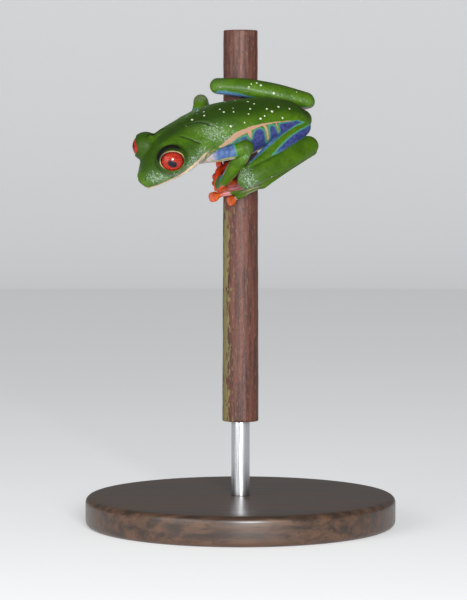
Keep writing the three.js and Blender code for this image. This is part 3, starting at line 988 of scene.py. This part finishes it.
def paint_toe(form, points, share, turn):
    """Orange, with pale lines at its root. The outer two toes have some of the foot's green there."""
    number = form.name[-1]
    lines = 0.5 + 0.5 * np.cos(np.radians(turn) * 7)
    green, cream = -90, -MOST
    if number == "4":
        green = np.minimum(turn + 20, (0.11 - share) * 400)
    if number == "5":
        green = (0.15 - share) * 400
        cream = 0.14 - np.abs(turn - np.interp(share, [0.1, 0.5], [2, 40])) * 0.014
    root = smoothstep(share, 0.42, 0.15) * smoothstep(np.abs(turn), 110, 80)
    return dict(
        orange=-np.clip(green * 0.02, -1, 1),
        cream=np.minimum(cream, (0.45 - share) * form.length),
        yellow=1,
        light=0.08 * smoothstep(share, 0.72, 0.85) + 0.9 * lines * root,
    )


def paint_finger(form, points, share, turn):
    return dict(orange=1, light=0.3 * smoothstep(share, 0.75, 0.85), red=1)


PAINTERS = {
    painter.__name__.removeprefix("paint_"): painter
    for painter in (
        paint_trunk, paint_skull, paint_upper_arm, paint_forearm, paint_hand, paint_finger,
        paint_thigh, paint_shank, paint_tarsus, paint_foot, paint_toe,
    )
}
# How far past the nearest form another form still has a say on a point, and how fast that fades.
OWNED = {"reach": 1.2, "fade": 0.25}
# These set the painted shade in crevices between limbs and the trunk.
# How close a second form comes where two press together, and how far a joint's reach is stretched.
PRESSED = {"apart": 0.35, "together": 0.05, "near": 1, "joint": 1.05}


def owners(away):
    """How much of each point of the skin belongs to each form, from its distances to them."""
    away = away.copy()
    away[1] = np.minimum(away[1], BAND / 2)  # the eyelids' tops, far from every form, are the skull's
    past = away - away.min(0)
    weight = np.where(past < OWNED["reach"], np.exp(-past / OWNED["fade"]), 0)
    return weight / weight.sum(0)


def crevice_shade(forms, points, away):
    """Shares of painted shade: 1 where two limbs, or a limb and the trunk, press together away from their
    joint.
    """
    limbs = [values for form, values in zip(forms, away) if form.kind in LIMBS]
    first, second = np.partition(np.stack([np.minimum(*away[:2]), *limbs]), 1, axis=0)[:2]
    share = smoothstep(second - first, PRESSED["apart"], PRESSED["together"]) * (first < PRESSED["near"])
    for side in SIDES:
        for joint, reach, _ in sum(ROOTS.values(), []):
            away = norm(points - of_side(JOINTS[joint], side), axis=1)
            share *= 1 - bell(away, PRESSED["joint"] * reach)
    return share


def add_spots(forms, points, fields):
    for form in forms:
        for i, (share, angle) in enumerate(SPOTS.get(form.name, [])):
            middle, _, across, up, sizes = sections(form.rows, np.array([share]))
            turn = math.radians(angle)
            place = middle[0] + sizes[0, 1] * (across[0] * math.sin(turn) + up[0] * math.cos(turn))
            radius = SPOT_RADIUS * (0.8 + 0.4 * ((i * 7) % 5) / 4)
            lift(fields, "spot", slice(None), radius - from_nearest(points, place))


def paint(forms, points):
    fields = {name: np.zeros(len(points)) for name in FIELDS}
    away = np.stack([form.distance.at(points) for form in forms])
    for form, weight in zip(forms, owners(away)):
        mine = np.flatnonzero(weight > 1e-3)
        painted = PAINTERS[form.kind](form, points[mine], *form.local(points[mine])) if len(mine) else {}
        for name, plain in FIELDS.items():
            fields[name][mine] += weight[mine] * np.clip(painted.get(name, plain), -MOST, MOST)
    paint_eyelids(points, fields)
    paint_folds(points, fields)
    # Painted shade in the crevices where limbs press on limbs or on the trunk.
    lift(fields, "fold", slice(None), 0.7 * crevice_shade(forms, points, away))
    add_spots(forms, points, fields)
    return fields


def skin_relief(points, fields):
    grain = lattice_noise(points, 0.9, 1) * 0.5 + lattice_noise(points, 0.45, 2) * 0.5
    rough = 0.018 + 0.02 * fields["wet"] + 0.03 * smoothstep(fields["white"], 0, 0.8)
    dome = np.clip(fields["spot"] / SPOT_RADIUS, 0, 1)
    return fields["relief"] + grain * rough + 0.1 * np.sqrt(dome)


# ---- materials

class Look:
    """A material put together from nodes. Patterns are sized in millimetres."""

    def __init__(self, name, **sockets):
        self.material = bpy.data.materials.new(name)
        self.material.use_nodes = True
        self.tree = self.material.node_tree
        self.shader = self.tree.nodes["Principled BSDF"]
        self.places = self.node("TexCoord", {}, "Object")
        for socket, value in sockets.items():
            self.put(self.shader.inputs[socket.replace("_", " ")], value)

    def put(self, socket, value):
        """Links or sets a socket. A tuple is a colour's display values, from 0 to 255."""
        if isinstance(value, bpy.types.NodeSocket):
            self.tree.links.new(value, socket)
        elif isinstance(value, tuple):
            socket.default_value = [*(((c / 255 + 0.055) / 1.055) ** 2.4 for c in value), 1]
        else:
            socket.default_value = value

    def node(self, kind, inputs, output=0, **settings):
        node = self.tree.nodes.new("ShaderNode" + kind)
        for key, value in settings.items():
            setattr(node, key, value)
        for key, value in inputs.items():
            self.put(node.inputs[key], value)
        return node.outputs[output]

    def field(self, name):
        return self.node("Attribute", {}, "Fac", attribute_name=name)

    def at_size(self, size, stretch):
        """A pattern's inputs, to give it that size and stretch it along the axes."""
        places = self.node("Mapping", {"Vector": self.places, "Scale": [1 / s for s in stretch]})
        return {"Vector": places, "Scale": 1 / (size * MM)}

    def noise(self, size, detail=3, stretch=(1, 1, 1), distortion=0.0):
        inputs = {"Detail": detail, "Distortion": distortion, **self.at_size(size, stretch)}
        return self.node("TexNoise", inputs)

    def cells(self, size, feature="F1", stretch=(1, 1, 1)):
        return self.node("TexVoronoi", self.at_size(size, stretch), "Distance", feature=feature)

    def sum(self, a, b):
        return self.node("Math", {0: a, 1: b}, operation="ADD")

    def times(self, a, b):
        return self.node("Math", {0: a, 1: b}, operation="MULTIPLY")

    def step(self, value, low, high, to=(0, 1)):
        inputs = {"Value": value, "From Min": low, "From Max": high, "To Min": to[0], "To Max": to[1]}
        return self.node("MapRange", inputs, interpolation_type="SMOOTHSTEP")

    def edge(self, field, waver, low, high):
        """A share that rises over a marking's edge, made uneven by a noise."""
        return self.step(self.sum(self.field(field), waver), low, high)

    def mix(self, share, a, b):
        return self.node("Mix", {0: share, 6: a, 7: b}, 2, data_type="RGBA")

    def over(self, under, top, value, low, high, most=1):
        """One colour, and another over it where a value passes from low to high."""
        return self.mix(self.step(value, low, high, (0, most)), under, top)

    def bump(self, height, depth, strength):
        inputs = {"Height": height, "Distance": depth * MM, "Strength": strength}
        self.put(self.shader.inputs["Normal"], self.node("Bump", inputs))

    def finish(self, base, roughness):
        self.put(self.shader.inputs["Base Color"], base)
        self.put(self.shader.inputs["Roughness"], roughness)
        return self.material


def skin_look():
    look = Look("skin", Coat_Weight=0.05, Coat_Roughness=0.25, IOR=1.4, Specular_IOR_Level=0.22)
    broad, middle, fine = look.noise(3.5), look.noise(0.9, 2), look.noise(0.3, 2)
    waver = look.step(middle, 0.3, 0.7, (-0.1, 0.1))
    half_waver = look.times(waver, 0.5)

    green = look.over((54, 86, 4), (72, 106, 12), look.sum(broad, look.times(fine, 0.5)), 0.55, 0.95)
    # Painted shade: the green darker where back is high, most on the tops.
    green = look.mix(look.times(look.field("back"), 0.85), green, (26, 48, 0))
    green = look.over(green, (38, 64, 2), middle, 0.5, 0.8, 0.4)

    white = look.over((172, 156, 148), (190, 178, 170), middle, 0.4, 0.7)
    skin = look.mix(look.edge("white", look.step(broad, 0.3, 0.7, (-0.3, 0.3)), -0.1, 0.5), green, white)

    violet = look.over((38, 42, 92), (54, 62, 114), middle, 0.35, 0.65)
    pale_blue = look.over((66, 104, 150), (92, 128, 168), middle, 0.35, 0.65)
    blue = look.mix(look.field("light"), violet, pale_blue)
    blue = look.mix(look.edge("blue", waver, 0.15, 0.7), (60, 122, 96), blue)
    skin = look.mix(look.edge("blue", waver, -0.02, 0.12), skin, blue)
    # Paler where pale is high: the real pale skin of lips, chest and foot, and painted light on the right
    # elbow and the hands.
    skin = look.mix(look.field("pale"), skin, white)

    cream = look.mix(look.field("yellow"), (160, 124, 102), (152, 144, 68))
    cream = look.mix(look.field("pale"), cream, (214, 192, 150))
    skin = look.mix(look.edge("cream", half_waver, -0.03, 0.09), skin, cream)

    orange = look.over((162, 62, 12), (178, 84, 30), middle, 0.35, 0.7)
    red = look.over((200, 44, 12), (224, 78, 24), middle, 0.35, 0.7)
    toes = look.mix(look.field("red"), orange, red)
    toes = look.mix(look.field("light"), toes, (180, 152, 172))
    skin = look.mix(look.edge("orange", waver, -0.05, 0.3), skin, toes)

    skin = look.over(skin, (158, 136, 100), look.field("rim"), -0.02, 0.06)
    # Painted sheen where the skin is wet: a pale veil, and painted glints along a net of cell edges.
    wet = look.field("wet")
    painted_glint = look.step(look.cells(0.5, "DISTANCE_TO_EDGE"), 0.13, 0.04)
    painted_glint = look.times(painted_glint, look.step(look.sum(look.noise(0.6, 3), look.times(wet, 0.36)), 0.72, 0.86))
    skin = look.mix(look.times(wet, 0.12), skin, (120, 150, 120))
    skin = look.mix(look.times(painted_glint, 0.8), skin, (146, 158, 150))
    # Painted shade in the folds, creases and crevices.
    skin = look.mix(look.times(look.field("fold"), 0.75), skin, (14, 26, 4))
    # Painted shade, near black, in the creases by the eyes, the mouth's slit, the nostrils and the hollow
    # behind the right eye.
    dark = look.step(look.field("dark"), -0.06, 0.1)
    skin = look.mix(dark, skin, (8, 10, 4))
    skin = look.mix(look.edge("spot", half_waver, -0.03, 0.06), skin, (190, 192, 176))

    grain = look.sum(look.times(look.cells(0.36), 0.8), look.times(look.noise(0.12, 1), 0.5))
    look.bump(grain, 0.06, 0.8)
    rough = look.sum(look.step(fine, 0.3, 0.7, (0.4, 0.54)), look.times(wet, -0.12))
    return look.finish(skin, look.sum(rough, look.times(dark, 0.4)))


# ---- the skin's piece

def make_skin():
    forms, body = build_forms()
    points, quads = surface_of(body)
    points = smoothed(points, quads, 2)
    fields = paint(forms, points)
    points = points + normals_of(points, quads) * skin_relief(points, fields)[:, None]
    del fields["relief"]
    flesh = [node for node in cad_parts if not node.startswith(("stand_", "perch_", "eye_"))]
    finish_piece(mesh_object("skin", points, quads), skin_look(), "skin", *flesh, fields=fields)


make_skin()


# ---- round pieces

def turned(radii, heights, sides, ridge=None):
    """Points and triangles of a closed form about the Z axis. Its outline starts and ends on the axis."""
    angle = np.arange(sides) * 2 * math.pi / sides
    around_axis = np.tile(np.column_stack([np.cos(angle), np.sin(angle)]), (len(radii) - 2, 1))
    radius, height = (np.repeat(np.asarray(row[1:-1], float), sides) for row in (radii, heights))
    if ridge is not None:
        radius = radius - ridge(around_axis, height, radius)
    rings = np.column_stack([around_axis * radius[:, None], height])
    points = np.vstack([(0, 0, heights[0]), rings, (0, 0, heights[-1])])
    return points, tube_triangles(len(radii) - 2, sides)[:, ::-1]


# ---- the eyes

# The pupil seen along the eye's axis: its middle towards the back and up, its half length and half height.
PUPILS = {"left": (0.12, -0.12, 1.15, 0.82), "right": (-1.25, 0.7, 1.3, 1.0)}
PUPIL_LEAN = math.radians(-53)


def eye_look():
    look = Look("eye", Coat_Weight=0.3, Coat_Roughness=0.03, IOR=1.35, Specular_IOR_Level=0.3)
    veins = look.cells(0.55, "DISTANCE_TO_EDGE")
    fine = look.noise(0.22, 3)
    pupil = look.field("pupil")
    iris = look.over((150, 30, 16), (176, 54, 30), fine, 0.3, 0.7)
    iris = look.over((108, 16, 10), iris, veins, 0.02, 0.14)
    iris = look.over(iris, (84, 12, 10), look.field("outward"), 2.1, 3.3)
    iris = look.over(iris, (100, 22, 14), pupil, -0.22, -0.06)
    iris = look.over(iris, (10, 12, 26), pupil, -0.06, 0.03)
    iris = look.over(iris, (24, 26, 52), look.field("lidline"), -0.05, 0.12)
    look.bump(fine, 0.02, 0.3)
    return look.finish(iris, look.step(fine, 0.3, 0.7, (0.2, 0.32)))


def make_eyes():
    tilt = np.linspace(0, math.pi, EYE["rings"])
    ball, faces = turned(EYE["radius"] * np.sin(tilt), EYE["radius"] * np.cos(tilt), EYE["sides"])
    back, up, out = ball.T
    look = eye_look()
    for name, side in SIDES.items():
        middle_back, middle_up, long, wide = PUPILS[name]
        x, y = back - middle_back, up - middle_up
        along, across = along_and_across(x, y, PUPIL_LEAN)
        waist = wide * (1 - 0.16 * bell(along, 0.3))
        axes = eye_frame(side)
        outward_faces = faces[:, ::-1] if np.linalg.det(axes) < 0 else faces
        eye = mesh_object(f"eye_{name}", ball @ axes + eye_middle(side), outward_faces)
        finish_piece(eye, look, "eye", f"eye_{name}", fields={
            "pupil": np.where(out > 0, (1 - np.hypot(along / long, across / waist)) * 0.95, -2),
            "outward": np.where(out > 0, np.hypot(x, y), 4),
            "lidline": np.where(up + 0.3 * back > 0, past_opening(name, back, up) + 0.2, -1),
        })


make_eyes()


# ---- the stem and the stand

BEVEL = 0.15  # of the stem's cut ends
BASE = {"radius": 42, "bottom": 0, "top": 8, "edge": 1.6, "rings": 2, "sides": 160}
ROD = {"radius": 2.5, "bottom": 8.05, "top": 28.28, "edge": 0.1, "rings": 12, "sides": 64}


def rounded(shape):
    """Radii and heights of a disc's or rod's outline from its underside to its top, with rounded edges."""
    edge, flat = shape["edge"], shape["radius"] - shape["edge"]
    turn = np.linspace(0, math.pi / 2, 6)
    inner = np.linspace(0.3, 1, 6)[:-1] * flat
    end = [0, *inner, *(flat + edge * np.sin(turn))]
    rise = np.array([*(0 * inner), 0, *(edge - edge * np.cos(turn))])
    wall = np.linspace(shape["bottom"] + edge, shape["top"] - edge, shape["rings"] + 2)[1:-1]
    radii = [*end, *(0 * wall + shape["radius"]), *end[::-1]]
    return radii, [*(shape["bottom"] + rise), *wall, *(shape["top"] - rise[::-1])]


def bark(around_axis, height, radius):
    """How deep the bark lies below the stem's outline: streaks along it and shallow dents."""
    ring = around_axis * 5
    streak = lattice_noise(np.column_stack([ring, height / 14]), 0.7, 11)
    fine = lattice_noise(np.column_stack([ring, height / 6]), 0.3, 12)
    dent = lattice_noise(np.column_stack([ring, height]), 2.2, 13)
    depth = 0.13 + 0.055 * streak + 0.03 * fine + 0.03 * dent
    return np.clip(depth, 0.01, 0.3) * (radius > 3)


def stem_look():
    look = Look("stem", Coat_Weight=0.1, Coat_Roughness=0.4)
    streak = look.noise(0.9, 4, (1, 1, 16))
    fine = look.noise(0.35, 3, (1, 1, 5))
    broad = look.noise(6, 2, (1, 1, 2.5))
    cut = look.field("cut")
    bark = look.over((60, 29, 21), (92, 49, 36), streak, 0.35, 0.65)
    bark = look.over(bark, (88, 40, 30), broad, 0.5, 0.72, 0.6)
    bark = look.over(bark, (122, 88, 70), fine, 0.56, 0.7, 0.6)
    bark = look.over(bark, (28, 15, 15), look.cells(1.1, stretch=(1, 1, 1.8)), 0.2, 0.12, 0.75)
    patches = look.step(look.noise(0.8, 4, (1, 1, 3)), 0.3, 0.7, (-0.5, 0.5))
    bark = look.over(bark, (118, 114, 64), look.sum(look.field("lichen"), patches), 0.4, 0.7, 0.7)
    pith = look.over((196, 178, 138), (222, 208, 172), look.noise(0.35, 3), 0.35, 0.65)
    pith = look.over(pith, (120, 134, 70), cut, 3.7, 4.3)
    look.bump(look.sum(streak, look.times(fine, 0.6)), 0.12, 0.6)
    return look.finish(look.over(pith, bark, cut, 4.38, 4.44), look.step(fine, 0.3, 0.7, (0.55, 0.75)))


def base_look():
    look = Look("stand_base", Coat_Weight=0.25, Coat_Roughness=0.25)
    grain = look.noise(2.2, 5, (16, 1, 1), 0.4)
    pores = look.noise(0.5, 3, (30, 1, 1))
    wood = look.over((44, 30, 22), (86, 60, 42), grain, 0.3, 0.7)
    wood = look.over(wood, (28, 18, 13), pores, 0.56, 0.7, 0.7)
    look.bump(pores, 0.05, 0.4)
    return look.finish(wood, look.step(grain, 0.3, 0.7, (0.36, 0.5)))


def rod_look():
    look = Look("stand_rod", Metallic=1.0)
    brushed = look.noise(0.25, 3, (1, 1, 40))
    steel = look.over((176, 178, 182), (212, 214, 217), brushed, 0.3, 0.7)
    look.bump(brushed, 0.01, 0.5)
    return look.finish(steel, look.step(brushed, 0.3, 0.7, (0.24, 0.38)))


def make_stem():
    low, high = STEM["bottom"], STEM["top"]
    heights = np.linspace(low + BEVEL, high - BEVEL, STEM["rings"])
    cut = [0, 0.6, 1.6, 2.6, 3.4, 4.0, 4.4, 4.6]
    radii = [*cut, stem_radius(low) - BEVEL, *stem_radius(heights), stem_radius(high) - BEVEL, *cut[::-1]]
    ends = [np.full(len(cut) + 1, height) for height in (low, high)]
    points, faces = turned(radii, [*ends[0], *heights, *ends[1]], STEM["sides"], bark)
    x, y, z = points.T
    finish_piece(mesh_object("stem", points, faces), stem_look(), "stem", "perch_stem", fields={
        "cut": np.where((z < low + 0.01) | (z > high - 0.01), np.hypot(x, y), 9),
        "lichen": bell(np.degrees(np.arctan2(-x, -y)) - 62, 22) * smoothstep(z, 92, 80),
    })


def make_stand():
    for name, shape, look in (("stand_base", BASE, base_look()), ("stand_rod", ROD, rod_look())):
        piece = mesh_object(name, *turned(*rounded(shape), shape["sides"]))
        finish_piece(piece, look, name, name)


make_stem()
make_stand()


# ---- the stage

FLOOR_RADIUS = 1350
WALL_BEND = 500
WALL_TOP = 2200


def paper_look(name, glow):
    """Pale seamless paper. It glows a little, so that it stays pale far from the lamps."""
    look = Look(name, Emission_Color=(222, 224, 226), Emission_Strength=glow)
    paper = look.mix(look.noise(300, 2), (226, 227, 228), (234, 234, 233))
    return look.finish(paper, 0.9)


def add_sheet(name, radii, heights, glow, sides=96):
    """An open sheet of paper about the Z axis: a turned form without its ends."""
    points, faces = turned([0, *radii, 0], [0, *heights, 0], sides)
    sheet = mesh_object(name, points[1:-1], faces[: -2 * sides, ::-1] - 1)
    sheet.data.materials.append(paper_look(name, glow))
    return sheet


def make_stage():
    """A pale floor that curves up into a wall all round."""
    turn = np.linspace(0, math.pi / 2, 24)
    add_sheet("floor", [1, 200, 600, FLOOR_RADIUS], [0, 0, 0, 0], 0.42)
    radii = [*(FLOOR_RADIUS + WALL_BEND * np.sin(turn)), FLOOR_RADIUS + WALL_BEND]
    wall = add_sheet("wall", radii, [*(WALL_BEND - WALL_BEND * np.cos(turn)), WALL_TOP], 0.46)
    for ray in ("diffuse", "glossy", "transmission", "shadow"):
        setattr(wall, "visible_" + ray, False)


LIT_PLACE = (0, 0, 0.1)  # what the lamps point at


def add_light(name, place, size, power):
    lamp = add_object(name, bpy.data.lights.new(name, "AREA"))
    lamp.data.energy, lamp.data.size = power, size
    lamp.visible_camera = False
    lamp.location = place
    lamp.rotation_euler = (Vector(LIT_PLACE) - lamp.location).to_track_quat("-Z", "Y").to_euler()


def light_stage():
    world = bpy.data.worlds.new("world")
    bpy.context.scene.world = world
    world.use_nodes = True
    world.node_tree.nodes["Background"].inputs[0].default_value = (0.22, 0.223, 0.226, 1)
    add_light("key", (0.1, -0.78, 0.2), 0.2, 7.1)
    add_light("fill", (-0.5, -0.5, 0.25), 0.5, 2.5)


make_stage()
light_stage()
bpy.context.scene.view_settings.view_transform = "Standard"
